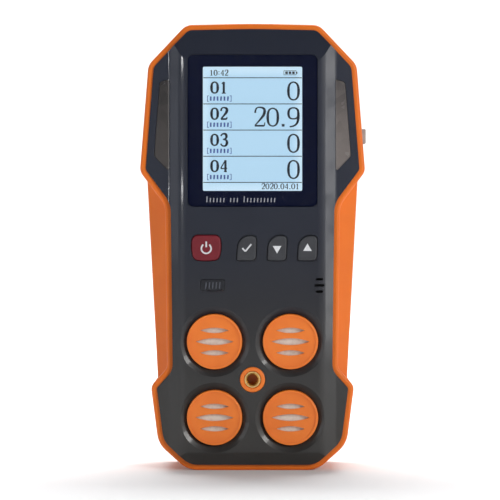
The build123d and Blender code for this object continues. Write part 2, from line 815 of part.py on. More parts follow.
lead_socket = (8.0, 4.0, 5.0)
lead_socket_z = battery_top_z - 2.0
with BuildPart() as board_connectors:
    with BuildSketch(spot(0, connector_z + 1.6, board_y)):
        Rectangle(flex_w + 2.0, 3.2)
    extrude(amount=connector_high)
    with BuildSketch(spot(0, lead_socket_z, board_back_y)):
        Rectangle(lead_socket[0], lead_socket[2])
    extrude(amount=-lead_socket[1])
keep(board_connectors.part, "board_connectors")

link_x = 13.0
link_size = (12.0, 2.4)
link_z = board_low_z + 2.4
with BuildPart() as board_link:
    with BuildSketch(spot(link_x, link_z, board_back_y)):
        Rectangle(*link_size)
    extrude(amount=-(sensor_board_y - board_back_y))
keep(board_link.part, "board_link")

# ---- Sounder and vibration motor ---------------------------------------------------------------------
buzzer_x = sounder_x - buzzer_size / 2 + 0.6
with BuildPart() as buzzer:
    with BuildSketch(spot(buzzer_x, sounder_z + 0.6, board_y)):
        RectangleRounded(buzzer_size, buzzer_size, 1.0)
    extrude(amount=buzzer_high)
    with BuildSketch(spot(buzzer_x, sounder_z + 0.6, board_y - buzzer_high)):
        Circle(1.2)
    extrude(amount=-1.0, mode=Mode.SUBTRACT)
keep(buzzer.part, "buzzer")

with BuildPart() as buzzer_mesh:
    with BuildSketch(spot(sounder_x - 0.8, sounder_z, face_inside_y + 0.35)):
        RectangleRounded(4.6, 5.6, 0.5)
    extrude(amount=0.3)
keep(buzzer_mesh.part, "buzzer_mesh")

motor_y = board_back_y + motor_r + 0.4
motor_face = Plane(origin=(motor_x, motor_y, motor_z), x_dir=(0, 1, 0), z_dir=(1, 0, 0))
with BuildPart() as vibration_motor:
    with BuildSketch(motor_face):
        Circle(motor_r)
        with Locations((-(motor_r + 0.4) / 2, 0)):
            Rectangle(motor_r + 0.4, 1.6 * motor_r)
    extrude(amount=motor_long)
    with BuildSketch(motor_face.offset(motor_long)):
        Circle(shaft_r + pin_gap)
    extrude(amount=-shaft_deep, mode=Mode.SUBTRACT)
keep(vibration_motor.part, "vibration_motor")

with BuildPart() as motor_weight:
    with BuildSketch(motor_face.offset(motor_long - shaft_inside)):
        Circle(shaft_r)
    extrude(amount=shaft_inside + weight_gap + weight_long)
    with BuildSketch(motor_face.offset(motor_long + weight_gap)):
        Circle(weight_r)
        with Locations((0, -weight_r)):
            Rectangle(2 * weight_r, 2 * weight_r - 1.6, mode=Mode.SUBTRACT)
    extrude(amount=weight_long)
keep(motor_weight.part, "motor_weight")

# ---- Charging port and dust plug -----------------------------------------------------------------------
port_mouth_x = port_half - wall - 0.4
port_face = Plane(origin=(port_mouth_x, port_y, port_z), x_dir=(0, 0, 1), z_dir=(1, 0, 0))
with BuildPart() as charge_port:
    with BuildSketch(port_face):
        SlotOverall(port_w, port_high)
    extrude(amount=-port_long)
    with BuildSketch(port_face):
        SlotOverall(port_w - 2 * port_shell, port_high - 2 * port_shell)
        Rectangle(port_w - 2.4, port_tongue, mode=Mode.SUBTRACT)
    extrude(amount=-(port_long - 1.0), mode=Mode.SUBTRACT)
keep(charge_port.part, "charge_port")

with BuildPart() as dust_plug:
    with BuildSketch(spot(0, 0, port_y - plug_flange[1])):
        offset(lip_outline.sketch, amount=-0.1)
        offset(cover_outline.sketch, amount=part_gap, mode=Mode.SUBTRACT)
    extrude(amount=-2 * plug_flange[1])
    with BuildSketch(Plane(origin=(far_half + 5, port_y, port_z), x_dir=(0, 0, 1), z_dir=(1, 0, 0))):
        SlotOverall(*plug_flange)
    extrude(amount=-10, mode=Mode.INTERSECT)
    with BuildSketch(Plane(origin=(port_half + 0.8, port_y, port_z), x_dir=(0, 0, 1), z_dir=(1, 0, 0))):
        SlotOverall(*plug_stem)
    extrude(amount=-(0.8 + wall + 0.1))
    tab_x = port_half + bumper_wall + plug_tab_proud
    with BuildSketch(Plane(origin=(tab_x, port_y, port_z), x_dir=(0, 0, 1), z_dir=(1, 0, 0))):
        RectangleRounded(*plug_tab, 0.6)
    extrude(amount=-(plug_tab_proud + 0.8))
    fillet(dust_plug.faces().sort_by(Axis.X)[-1].edges(), radius=0.4)
keep(dust_plug.part, "dust_plug")

# ---- Battery -----------------------------------------------------------------------------------------
battery_back_y = shell_inside_y - pad_thick
battery_z = battery_top_z - battery[2] / 2
with BuildPart() as battery_pack:
    with BuildSketch(spot(0, battery_z, battery_back_y)):
        Rectangle(battery[0], battery[2])
    extrude(amount=battery[1])
    fillet(battery_pack.edges().filter_by(Axis.Z), radius=2.5)
keep(battery_pack.part, "battery_pack")

with BuildPart() as battery_pad:
    with BuildSketch(spot(0, battery_z, shell_inside_y)):
        Rectangle(battery[0] - 4, battery[2] - 6)
    extrude(amount=pad_thick)
keep(battery_pad.part, "battery_pad")

# Two leads loop over from the battery's top into their socket.
lead_start_y = battery_back_y - battery[1] / 2
lead_end_y = board_back_y + lead_socket[1] / 2
lead_loop_z = battery_top_z + 5.0
with BuildPart() as battery_leads:
    for lead_x in (-1.4, 1.4):
        with BuildLine(Plane.YZ.offset(lead_x)) as route:
            FilletPolyline(
                (lead_start_y, battery_top_z),
                (lead_start_y, lead_loop_z),
                (lead_end_y, lead_loop_z),
                (lead_end_y, lead_socket_z + lead_socket[2] / 2),
                radius=2.0,
            )
        with BuildSketch(Plane(origin=(lead_x, lead_start_y, battery_top_z), z_dir=(0, 0, 1))):
            Circle(lead_r)
        sweep(path=route.wire())
keep(battery_leads.part, "battery_leads")

# ---- Sensors, their board and their caps ---------------------------------------------------------------
sensor_half = sensor_pitch / 2 + sensor_r - 0.5
sensor_board_top_z = link_z + 2.0
sensor_board_side = [
    (13.5, bumper_wall + 2.5),
    (sensor_half, bumper_wall + 2.5 + sensor_half - 13.5),
    (sensor_half, sensor_board_top_z),
]
with BuildPart() as sensor_board:
    with BuildSketch(spot(0, 0, sensor_board_y)):
        with BuildLine():
            Polyline(*sensor_board_side, *[(-x, z) for x, z in reversed(sensor_board_side)], close=True)
        make_face()
        with Locations(*sensor_post_places):
            Circle(board_screw_r + 2 * fit_gap, mode=Mode.SUBTRACT)
    extrude(amount=-board_thick)
keep(sensor_board.part, "sensor_board")

with BuildPart() as sensor_board_screws:
    with BuildSketch(spot(0, 0, sensor_board_y)):
        with Locations(*sensor_post_places):
            Circle(board_screw_head_r)
    extrude(amount=board_screw_head)
    with BuildSketch(spot(0, 0, sensor_board_y)):
        with Locations(*sensor_post_places):
            Circle(board_screw_r)
    extrude(amount=-(board_thick + board_screw_reach))
keep(sensor_board_screws.part, "sensor_board_screws")

for gas, (sensor_x, sensor_z) in sensor_places.items():
    with BuildPart() as sensor:
        with BuildSketch(spot(sensor_x, sensor_z, sensor_y)):
            Circle(sensor_r)
        extrude(amount=-sensor_long)
        chamfer(sensor.edges().filter_by(GeomType.CIRCLE), length=0.5)
        with BuildSketch(spot(sensor_x, sensor_z, sensor_back_y)):
            with PolarLocations(pin_circle_r, 3, start_angle=90):
                Circle(pin_r)
        extrude(amount=-(socket_high - 0.4))
    keep(sensor.part, f"sensor_{gas}")

with BuildPart() as sensor_sockets:
    for sensor_x, sensor_z in sensor_places.values():
        with BuildSketch(spot(sensor_x, sensor_z, sensor_board_y)):
            with PolarLocations(pin_circle_r, 3, start_angle=90):
                Circle(socket_r)
                Circle(pin_r + fit_gap, mode=Mode.SUBTRACT)
        extrude(amount=socket_high)
keep(sensor_sockets.part, "sensor_sockets")

with BuildPart() as sensor_gaskets:
    with BuildSketch(spot(0, 0, gasket_y)):
        with Locations(*sensor_places.values()):
            Circle(sensor_r - 0.6)
            Circle(cap_r - cap_wall, mode=Mode.SUBTRACT)
    extrude(amount=-gasket_thick)
keep(sensor_gaskets.part, "sensor_gaskets")

filter_y = cap_y + cap_face + 0.05
with BuildPart() as sensor_filters:
    with BuildSketch(spot(0, 0, filter_y)):
        with Locations(*sensor_places.values()):
            Circle(cap_r - cap_wall - fit_gap)
    extrude(amount=-filter_thick)
keep(sensor_filters.part, "sensor_filters")


def lens_slot(slot_long, slot_high):
    """A slot whose sides bow out and meet in points, as two arcs."""
    with BuildSketch() as face:
        with BuildLine():
            ThreePointArc((-slot_long / 2, 0), (0, slot_high / 2), (slot_long / 2, 0))
            ThreePointArc((slot_long / 2, 0), (0, -slot_high / 2), (-slot_long / 2, 0))
        make_face()
    return face.sketch


cap_slots = [lens_slot(long, high) for long, high in zip(slot_lengths, slot_heights)]
for gas, (sensor_x, sensor_z) in sensor_places.items():
    with BuildPart() as cap:
        with BuildSketch(spot(sensor_x, sensor_z, cap_y)):
            Circle(cap_r)
        extrude(amount=-(cap_back_y - cap_y))
        fillet(cap.faces().sort_by(Axis.Y)[0].edges(), radius=0.25)
        with BuildSketch(spot(sensor_x, sensor_z, cap_y)):
            Circle(cap_r - cap_rim)
        extrude(amount=-cap_rim_step, mode=Mode.SUBTRACT)
        with BuildSketch(spot(sensor_x, sensor_z, cap_back_y)):
            Circle(cap_r - cap_wall)
        extrude(amount=cap_back_y - cap_y - cap_face, mode=Mode.SUBTRACT)
        # The snap bead sits behind the cover's wall.
        with BuildSketch(spot(sensor_x, sensor_z, cap_back_y)):
            Circle(cap_r + snap_bead)
            Circle(cap_r - cap_wall, mode=Mode.SUBTRACT)
        extrude(amount=cap_back_y - face_inside_y - fit_gap)
        for rise, slot in zip((slot_pitch, 0, -slot_pitch), cap_slots):
            with BuildSketch(spot(sensor_x, sensor_z + rise, cap_y)):
                add(slot)
            extrude(amount=-(cap_face + 0.1), mode=Mode.SUBTRACT)
    keep(cap.part, f"cap_{gas}")

# ---- Threaded insert -----------------------------------------------------------------------------------
with BuildPart() as insert_collar:
    with BuildSketch(spot(0, sensor_mid_z, face_y - collar_proud)):
        Circle(collar_r)
    extrude(amount=-(collar_back_y - face_y + collar_proud))
    with BuildSketch(spot(0, sensor_mid_z, face_y - collar_proud)):
        Circle(insert_r + 0.03)
    extrude(amount=-(insert_long + collar_proud), mode=Mode.SUBTRACT)
    collar_rim = insert_collar.faces().sort_by(Axis.Y)[0]
    fillet(collar_rim.outer_wire().edges(), radius=0.3)
    chamfer(collar_rim.inner_wires()[0].edges(), length=0.25, length2=0.6)
keep(insert_collar.part, "insert_collar")

with BuildPart() as calibration_insert:
    with BuildSketch(spot(0, sensor_mid_z, face_y + 0.02)):
        Circle(insert_r)
        Circle(insert_bore_r, mode=Mode.SUBTRACT)
    extrude(amount=-(insert_long - 0.04))
    insert_mouth = calibration_insert.faces().sort_by(Axis.Y)[0]
    chamfer(insert_mouth.inner_wires()[0].edges(), length=0.35)
keep(calibration_insert.part, "calibration_insert")

# ---- Belt clip -----------------------------------------------------------------------------------------
pivot_y = back_y + pivot_rise
clip_plate_y = back_y + sheet
ear_inner_half = clip_w / 2 - sheet
lever_half = ear_inner_half - ear_side_gap
tail_y = back_y + clip_depth - sheet / 2
jaw_y = clip_plate_y + jaw_lip
pivot_axis = Plane(origin=(0, pivot_y, pivot_z), x_dir=(0, 1, 0), z_dir=(1, 0, 0))
tooth_pitch = 2 * lever_half / tooth_count

with BuildPart() as clip_base:
    with BuildSketch(spot(0, (clip_low_z + clip_high_z) / 2, clip_plate_y)):
        RectangleRounded(clip_w, clip_high_z - clip_low_z, 1.0)
        with Locations(*[(0, z - (clip_low_z + clip_high_z) / 2) for z in clip_screw_zs]):
            Circle(clip_screw_r + fit_gap, mode=Mode.SUBTRACT)
    extrude(amount=sheet)
    for side in (1, -1):
        with BuildSketch(pivot_axis.offset(side * clip_w / 2)):
            Circle(ear_r)
            with Locations((-pivot_rise / 2 + 0.25, 0)):
                Rectangle(pivot_rise - 0.5, 2 * ear_r)
            Circle(clip_pin_r + pin_gap, mode=Mode.SUBTRACT)
        extrude(amount=-side * sheet)
    # A toothed lip, turned up at the mouth.
    with BuildSketch(Plane.XY.offset(clip_low_z)):
        with Locations((0, back_y + (sheet + jaw_lip) / 2)):
            Rectangle(2 * lever_half, sheet + jaw_lip)
        with Locations((0, jaw_y)):
            with GridLocations(tooth_pitch, 1, tooth_count, 1):
                Rectangle(tooth_size, tooth_size, rotation=45, mode=Mode.SUBTRACT)
    extrude(amount=sheet)
keep(clip_base.part, "clip_base")

with BuildPart() as clip_lever:
    with BuildSketch(Plane.YZ.offset(-lever_half)):
        with BuildLine():
            FilletPolyline(
                (jaw_y + jaw_gap, clip_low_z + sheet / 2),
                (pivot_y + 0.4, clip_low_z + sheet / 2),
                (pivot_y + 2.6, clip_low_z + 7.0),
                (pivot_y + lever_rise, pivot_z),
                (tail_y - 0.7, clip_high_z - 6.0),
                (tail_y, clip_high_z + 2.0),
                radius=[1.6, 5.0, 20.0, 12.0],
            )
        trace(line_width=sheet)
    extrude(amount=2 * lever_half)
    for side in (1, -1):
        with BuildSketch(pivot_axis.offset(side * lever_half)):
            Circle(ear_r - 0.4)
            with Locations((lever_rise / 2, 0)):
                Rectangle(lever_rise, 2 * (ear_r - 0.4))
            Circle(clip_pin_r + pin_gap, mode=Mode.SUBTRACT)
        extrude(amount=-side * sheet)
    with BuildSketch(Plane.XY.offset(clip_low_z)):
        with Locations((0, jaw_y + jaw_gap)):
            with GridLocations(tooth_pitch, 1, tooth_count, 1):
                Rectangle(tooth_size, tooth_size, rotation=45)
    extrude(amount=sheet, mode=Mode.SUBTRACT)
    tail_end = clip_lever.faces().sort_by(Axis.Z)[-1]
    fillet(tail_end.edges().sort_by(SortBy.LENGTH)[:2], radius=3.0)
keep(clip_lever.part, "clip_lever")

with BuildPart() as clip_pin:
    with BuildSketch(pivot_axis.offset(-clip_w / 2 - 0.05)):
        Circle(pin_head_r)
    extrude(amount=-pin_head)
    with BuildSketch(pivot_axis.offset(-clip_w / 2 - 0.1)):
        Circle(clip_pin_r)
    extrude(amount=clip_w + 0.2)
    with BuildSketch(pivot_axis.offset(clip_w / 2 + 0.05)):
        Circle(pin_head_r)
    extrude(amount=pin_head)
keep(clip_pin.part, "clip_pin")

# The torsion spring: a coil round the pin, one leg on the plate and one under the tail.


def leg_lean(reach):
    """Degrees by which a leg leaves the tail's direction to end this far from the pin's axis."""
    return degrees(atan2(leg_long, spring_r) - acos(reach / hypot(leg_long, spring_r)))


tail_slope = (tail_y - 0.7 - pivot_y - lever_rise) / (clip_high_z - 6.0 - pivot_z)
tail_reach = lever_rise - sheet / 2 + tail_slope * (leg_long - 1.0) - spring_wire_r - 0.1
plate_reach = pivot_rise - sheet - spring_wire_r - 0.03
turns = spring_turns + 0.5 - (leg_lean(tail_reach) + leg_lean(plate_reach)) / 360
coil_long = turns * spring_pitch
with BuildPart() as clip_spring:
    coil_start = (-coil_long / 2, pivot_y, pivot_z)
    with BuildLine() as coil:
        round_pin = Helix(
            pitch=spring_pitch,
            height=coil_long,
            radius=spring_r,
            center=coil_start,
            direction=(1, 0, 0),
            lefthand=True,
            mode=Mode.PRIVATE,
        )
        add(round_pin.rotate(Axis(coil_start, (1, 0, 0)), -90 - leg_lean(tail_reach)))
    turns_path = coil.wire()
    with BuildSketch(Plane(origin=turns_path @ 0, z_dir=turns_path % 0)):
        Circle(spring_wire_r)
    sweep(path=turns_path, is_frenet=True)
    for end, away in ((0, -1), (1, 1)):
        with BuildSketch(Plane(origin=turns_path @ end, z_dir=away * (turns_path % end))):
            Circle(spring_wire_r)
        extrude(amount=leg_long)
keep(clip_spring.part, "clip_spring")

with BuildPart() as clip_screws:
    with BuildSketch(spot(0, 0, clip_plate_y + clip_screw_head)):
        with Locations(*[(0, z) for z in clip_screw_zs]):
            Circle(clip_screw_head_r)
    extrude(amount=clip_screw_head)
    fillet(clip_screws.faces().sort_by(Axis.Y)[-2:].edges(), radius=0.7)
    with BuildSketch(spot(0, 0, clip_plate_y + 0.1)):
        with Locations(*[(0, z) for z in clip_screw_zs]):
            Circle(clip_screw_r)
    extrude(amount=sheet + clip_screw_long)
keep(clip_screws.part, "clip_screws")
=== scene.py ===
# Portable gas detector: finishes, display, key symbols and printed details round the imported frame.
import math

import bmesh
import bpy
from mathutils import Matrix, Vector


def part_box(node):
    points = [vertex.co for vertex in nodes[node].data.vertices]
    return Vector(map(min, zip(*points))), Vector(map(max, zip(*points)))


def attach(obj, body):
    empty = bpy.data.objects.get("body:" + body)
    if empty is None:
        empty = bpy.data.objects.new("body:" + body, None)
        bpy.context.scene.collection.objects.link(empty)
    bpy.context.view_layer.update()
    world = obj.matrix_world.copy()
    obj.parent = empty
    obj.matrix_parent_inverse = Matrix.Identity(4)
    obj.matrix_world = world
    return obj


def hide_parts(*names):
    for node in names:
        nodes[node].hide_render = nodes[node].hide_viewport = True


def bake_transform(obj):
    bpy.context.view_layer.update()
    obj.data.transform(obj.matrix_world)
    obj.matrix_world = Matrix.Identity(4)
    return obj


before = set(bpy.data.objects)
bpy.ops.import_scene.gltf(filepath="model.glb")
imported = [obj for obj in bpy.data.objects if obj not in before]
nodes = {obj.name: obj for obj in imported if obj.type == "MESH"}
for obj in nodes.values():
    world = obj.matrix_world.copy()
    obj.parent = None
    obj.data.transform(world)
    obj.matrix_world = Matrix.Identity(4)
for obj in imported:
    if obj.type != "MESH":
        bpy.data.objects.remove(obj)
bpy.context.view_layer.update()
scene = bpy.context.scene
mm = 0.001
print("frame loaded:", len(nodes), "nodes")


# shader helpers
class Wire:  # a node's output, ready for sums
    def __init__(self, finish, socket):
        self.finish = finish
        self.socket = socket

    def join(self, operation, *values):
        return self.finish.node("ShaderNodeMath", {"operation": operation}, dict(enumerate(values)))

    def __add__(self, other):
        return self.join("ADD", self, other)

    def __sub__(self, other):
        return self.join("SUBTRACT", self, other)

    def __rsub__(self, other):
        return self.join("SUBTRACT", other, self)

    def __mul__(self, other):
        return self.join("MULTIPLY", self, other)

    def __truediv__(self, other):
        return self.join("DIVIDE", self, other)

    def __abs__(self):
        return self.join("ABSOLUTE", self)

    __radd__ = __add__
    __rmul__ = __mul__


class Finish:  # one material and the nodes in it
    def __init__(self, name):
        self.material = bpy.data.materials.new(name)
        self.material.use_nodes = True
        self.tree = self.material.node_tree
        self.tree.nodes.clear()
        self.place = self.node("ShaderNodeTexCoord", output="Object")

    def node(self, kind, settings=None, sockets=None, output=0):
        made = self.tree.nodes.new(kind)
        for name, value in (settings or {}).items():
            setattr(made, name, value)
        for name, value in (sockets or {}).items():
            if isinstance(value, Wire):
                self.tree.links.new(value.socket, made.inputs[name])
            else:
                made.inputs[name].default_value = value
        return Wire(self, made.outputs[output]) if made.outputs else None

    def axis(self, letter):
        return self.node("ShaderNodeSeparateXYZ", None, {0: self.place}, letter)

    def noise(self, size, detail=2, stretch=(1, 1, 1), rough=0.5):
        vector = self.place
        if stretch != (1, 1, 1):
            vector = self.node("ShaderNodeMapping", None, {"Vector": self.place, "Scale": stretch})
        sockets = {"Vector": vector, "Scale": 1 / size, "Detail": detail, "Roughness": rough}
        return self.node("ShaderNodeTexNoise", None, sockets)

    def cells(self, size, feature="F1", output="Distance"):
        sockets = {"Vector": self.place, "Scale": 1 / size}
        return self.node("ShaderNodeTexVoronoi", {"feature": feature}, sockets, output)

    def ramp(self, value, low, high, start=0.0, end=1.0):
        sockets = {"Value": value, "From Min": low, "From Max": high, "To Min": start, "To Max": end}
        return self.node("ShaderNodeMapRange", {"interpolation_type": "SMOOTHSTEP"}, sockets)

    def mix(self, share, first, second):  # sockets 6 and 7 and output 2 are the colour ones
        paint = [value if isinstance(value, Wire) else (*value, 1) for value in (first, second)]
        return self.node("ShaderNodeMix", {"data_type": "RGBA"}, {0: share, 6: paint[0], 7: paint[1]}, 2)

    def bump(self, height, depth, strength=1.0, under=None):
        sockets = {"Height": height, "Distance": depth, "Strength": strength}
        if under:
            sockets["Normal"] = under
        return self.node("ShaderNodeBump", None, sockets)

    def surface(self, **sockets):
        named = {name.replace("_", " "): value for name, value in sockets.items()}
        for name in ("Base Color", "Emission Color"):
            if name in named and not isinstance(named[name], Wire):
                named[name] = (*named[name], 1)
        shader = self.node("ShaderNodeBsdfPrincipled", None, named)
        self.node("ShaderNodeOutputMaterial", None, {"Surface": shader})
        return self.material


def wear(*names, material):  # dresses CAD nodes
    for name in names:
        nodes[name].data.materials.clear()
        nodes[name].data.materials.append(material)


# moulded black case
caseLook = {
    "colour": (0.0100, 0.0132, 0.0250),
    "paintedLightLowColour": (0.0210, 0.0196, 0.0178),
    "scuff": (0.040, 0.041, 0.043),
    "roughness": 0.38,
    "grain": 0.28 * mm,
    "relief": 0.012 * mm,
    "fade": (20 * mm, 95 * mm),  # between these heights the lower colour turns into the upper one; painted light and shade: lighter and warmer low down, darker and bluer high up
}


def casePlastic():
    f = Finish("casePlastic")
    # painted light and shade: the case runs from lighter and warmer at the bottom to darker and bluer at the
    # top
    tint = f.ramp(f.axis("Z") + 20 * mm * f.noise(30 * mm), *caseLook["fade"])
    base = f.mix(tint, caseLook["paintedLightLowColour"], caseLook["colour"])
    handled = f.ramp(f.noise(9 * mm, 5, rough=0.62), 0.42, 0.75)
    scuffs = f.ramp(f.noise(1.6 * mm, 6, (1, 1, 4.5), 0.7), 0.66, 0.80, 0, 0.35)
    base = f.mix(scuffs, base, caseLook["scuff"])
    roughness = caseLook["roughness"] + 0.09 * handled - 0.05 * scuffs
    spark = f.cells(caseLook["grain"], "SMOOTH_F1") + 0.5 * f.noise(caseLook["grain"] * 0.6, 3)
    normal = f.bump(spark, caseLook["relief"], 0.55)
    return f.surface(Base_Color=base, Roughness=roughness, Normal=normal, Specular_IOR_Level=0.35,
                     Coat_Weight=0.3 - 0.2 * handled, Coat_Roughness=0.06)


wear("front_cover", "rear_shell", material=casePlastic())

# over-moulded bumper
bumperLook = {
    "colour": (0.71, 0.150, 0.007),
    "deep": (0.58, 0.104, 0.005),
    "grime": (0.22, 0.055, 0.020),
    "roughness": 0.43,
    "grain": 0.35 * mm,
    "relief": 0.010 * mm,
}


def bumperRubber():
    f = Finish("bumperRubber")
    cloud = f.ramp(f.noise(14 * mm, 4), 0.3, 0.72)
    base = f.mix(cloud * 0.35, bumperLook["colour"], bumperLook["deep"])
    specks = f.ramp(f.noise(0.9 * mm, 5, rough=0.7), 0.69, 0.80, 0, 0.30)
    base = f.mix(specks, base, bumperLook["grime"])
    roughness = bumperLook["roughness"] + 0.10 * f.noise(5 * mm, 4) + 0.15 * specks
    skin = f.noise(bumperLook["grain"], 4, rough=0.6)
    flow = f.bump(f.noise(6 * mm, 2), 0.03 * mm, 0.5)
    normal = f.bump(skin, bumperLook["relief"], 0.5, flow)
    return f.surface(
        Base_Color=base,
        Roughness=roughness,
        Normal=normal,
        Specular_IOR_Level=0.32,
        Subsurface_Weight=0.08,
        Subsurface_Radius=(0.9, 0.35, 0.1),
        Subsurface_Scale=1.2 * mm,
    )


wear("bumper", material=bumperRubber())

# sensor caps and the insert's collar
capLook = {"colour": (0.77, 0.182, 0.014), "deep": (0.66, 0.128, 0.008), "roughness": 0.36}


def capPlastic():
    f = Finish("capPlastic")
    base = f.mix(f.ramp(f.noise(7 * mm, 3), 0.3, 0.7, 0, 0.4), capLook["colour"], capLook["deep"])
    roughness = capLook["roughness"] + 0.12 * f.noise(2.5 * mm, 4)
    normal = f.bump(f.noise(0.3 * mm, 3), 0.006 * mm, 0.5)
    return f.surface(Base_Color=base, Roughness=roughness, Normal=normal, Subsurface_Weight=0.05,
                     Subsurface_Radius=(0.8, 0.3, 0.1), Subsurface_Scale=1 * mm)


wear("cap_lel", "cap_o2", "cap_co", "cap_h2s", "insert_collar", material=capPlastic())

# window, printed border and screen
windowLook = {
    "tint": (0.86, 0.90, 0.97),
    "roughness": 0.035,
    "ink": (0.0012, 0.0026, 0.0150),
    "inkLight": (0.0016, 0.0034, 0.0180),
}


def windowPlastic():
    f = Finish("windowPlastic")
    smudge = f.ramp(f.noise(6 * mm, 4, rough=0.6), 0.45, 0.8, 0, 0.05)
    return f.surface(Base_Color=windowLook["tint"], Roughness=windowLook["roughness"] + smudge, IOR=1.49,
                     Transmission_Weight=1.0)


def borderInkPaintedGlow():
    f = Finish("borderInkPaintedGlow")
    base = f.mix(f.ramp(f.noise(4 * mm, 2), 0.3, 0.7), windowLook["ink"], windowLook["inkLight"])
    roughness = 0.30 + 0.1 * f.noise(1 * mm, 2)
    # the ink also glows in its own colour: painted light, standing in for the lamp light that the window glass
    # keeps off it
    return f.surface(Base_Color=base, Roughness=roughness, Emission_Color=base, Emission_Strength=1.0)


wear("display_window", material=windowPlastic())
wear("window_mask", material=borderInkPaintedGlow())

screenLook = {
    "width": 28.6 * mm,
    "height": 35.8 * mm,
    "middle": 99.2 * mm,
    "face": (0.500, 0.730, 0.860),
    "edge": (0.700, 0.880, 0.950),
    "gap": (0.2, 0.35, 0.45),  # between the display's dots
    "glow": 1.08,
    "dot": 0.2234 * mm,
}


def backlitScreen():
    f = Finish("backlitScreen")
    sideways = abs(f.axis("X")) / (screenLook["width"] / 2)
    upwards = abs(f.axis("Z") - screenLook["middle"]) / (screenLook["height"] / 2)
    rim = f.ramp(sideways.join("MAXIMUM", sideways, upwards), 0.80, 1.0)
    glow = f.mix(rim * 0.8, screenLook["face"], screenLook["edge"])
    lines = f.axis("X") / screenLook["dot"]
    columns = lines.join("FRACT", lines)
    lines = f.axis("Z") / screenLook["dot"]
    rows = lines.join("FRACT", lines)
    grid = f.ramp(columns.join("MAXIMUM", columns, rows), 0.84, 0.90)
    glow = f.mix(grid * 0.05, glow, screenLook["gap"])
    return f.surface(Base_Color=(0.02, 0.03, 0.04), Roughness=0.5 + 0.1 * grid, Emission_Color=glow,
                     Emission_Strength=screenLook["glow"])


wear("lcd_panel", material=backlitScreen())
print("case, bumper and display finished")

# keys, seals and other soft black or grey pieces
rubberLook = {
    "powerKeyRubber": (0.135, 0.0070, 0.0140),
    "keyRubber": (0.034, 0.0355, 0.041),
    "matRubber": (0.02, 0.02, 0.022),
    "meshFabric": (0.010, 0.010, 0.011),
    "plugRubber": (0.34, 0.275, 0.255),
    "sealRubber": (0.015, 0.015, 0.015),
}
rubberRoughness = 0.46


def rubber(name):
    f = Finish(name)
    colour = rubberLook[name]
    lighter = tuple(min(1, 1.35 * part) for part in colour)
    base = f.mix(f.ramp(f.noise(2.2 * mm, 4), 0.35, 0.75, 0, 0.6), colour, lighter)
    roughness = rubberRoughness + 0.12 * f.noise(1.2 * mm, 4)
    normal = f.bump(f.noise(0.16 * mm, 3), 0.006 * mm, 0.5)
    return f.surface(Base_Color=base, Roughness=roughness, Normal=normal, Specular_IOR_Level=0.32)


wear("power_key", material=rubber("powerKeyRubber"))
wear("ok_key", "down_key", "up_key", material=rubber("keyRubber"))
wear("keypad_mat", "battery_pad", material=rubber("matRubber"))
wear("buzzer_mesh", material=rubber("meshFabric"))
wear("dust_plug", material=rubber("plugRubber"))
wear("case_gasket", "sensor_gaskets", material=rubber("sealRubber"))

# alarm lenses
lensLook = {
    "smoke": (0.078, 0.068, 0.064),
    "dark": (0.022, 0.020, 0.020),
    "roughness": 0.22,
    "fade": (101 * mm, 126 * mm),
    "facet": 2.4 * mm,
}


def smokedLens(name, share):  # share lightens or darkens the whole lens, giving lit and shaded copies of one lens: painted light and painted shade
    f = Finish(name)
    # darker towards the top and the outer sides
    depth = f.ramp(f.axis("Z") + 0.35 * abs(f.axis("X")), *lensLook["fade"])
    smoke, dark = (tuple(share * part for part in lensLook[tone]) for tone in ("smoke", "dark"))
    base = f.mix(depth, smoke, dark)
    facets = f.cells(lensLook["facet"], "F1", "Color")
    shade = f.node("ShaderNodeRGBToBW", None, {0: facets})
    base = f.mix(shade * 0.30, base, tuple(1.5 * part for part in smoke))
    rough = lensLook["roughness"] + 0.08 * f.noise(3 * mm, 3)
    return f.surface(Base_Color=base, Roughness=rough, Coat_Weight=0.35, Coat_Roughness=0.08, IOR=1.5)


# the same smoked lens in two brightnesses: painted shade on the left lens, painted light on the right one
wear("alarm_lens_left", material=smokedLens("lensLeftPaintedShade", 0.55))
wear("alarm_lens_right", material=smokedLens("lensRightPaintedLight", 1.8))


# metals: colour, roughness, how the brushing is stretched, and the colour of the stains
steelColour = (0.36, 0.36, 0.355)
steelStain = (0.17, 0.165, 0.16)
metalLook = {
    "clipSteel": (steelColour, 0.30, (1, 1, 0.06), steelStain),
    "turnedSteel": (steelColour, 0.30, (1, 1, 1), steelStain),
    "springSteel": ((0.42, 0.42, 0.43), 0.22, (0.2, 1, 1), steelStain),
    "turnedBrass": ((0.80, 0.58, 0.24), 0.20, (1, 0.1, 1), (0.30, 0.19, 0.08)),
    "brushedFoil": ((0.40, 0.40, 0.39), 0.38, (0.05, 1, 1), steelStain),
}


def metal(name):
    f = Finish(name)
    colour, roughness, brushed, stain = metalLook[name]
    strokes = f.noise(0.25 * mm, 4, brushed, 0.6)
    clouds = f.ramp(f.noise(3.5 * mm, 4), 0.5, 0.8, 0, 0.10)
    base = f.mix(clouds, colour, stain)
    rough = roughness + 0.18 * strokes + 0.2 * clouds
    return f.surface(Base_Color=base, Metallic=1.0, Roughness=rough, Normal=f.bump(strokes, 0.006 * mm, 0.5))


turnedBrass = metal("turnedBrass")
wear("clip_base", "clip_lever", material=metal("clipSteel"))
wear("case_screws", "board_screws", "sensor_board_screws", "clip_screws", "clip_pin", "charge_port",
     "vibration_motor", "motor_weight", material=metal("turnedSteel"))
wear("clip_spring", material=metal("springSteel"))
wear("calibration_insert", material=turnedBrass)
wear("nameplate", material=metal("brushedFoil"))

# small visible pieces
filterLook = {"colour": (0.66, 0.60, 0.53), "shade": (0.40, 0.35, 0.30), "pore": 0.12 * mm}


